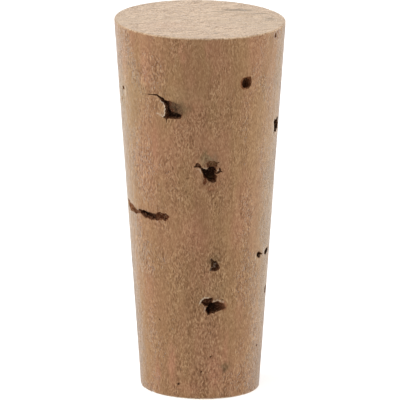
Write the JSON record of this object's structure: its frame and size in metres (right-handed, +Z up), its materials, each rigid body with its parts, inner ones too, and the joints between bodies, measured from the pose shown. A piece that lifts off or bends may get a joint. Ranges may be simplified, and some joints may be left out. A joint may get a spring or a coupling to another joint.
{
  "type": "cork stopper",
  "caption": "Tapered natural cork stopper that plugs the neck of a bottle or flask; it stands on its narrow end.",
  "frame": {"origin": "centre of the narrow end's face, on which the stopper stands", "axes": "+Z up towards the wide end, square to both cut ends; the front is at -Y and +X is to its right; the taper's own axis leans 1 degree towards -X, because the ends are cut that far out of square with it"},
  "size_m": [0.0204, 0.0204, 0.045],
  "materials": {
    "cork": "matte, bare cut cork with open pores"
  },
  "bodies": {
    "root": {"stopper": "cork"}
  },
  "joints": []
}
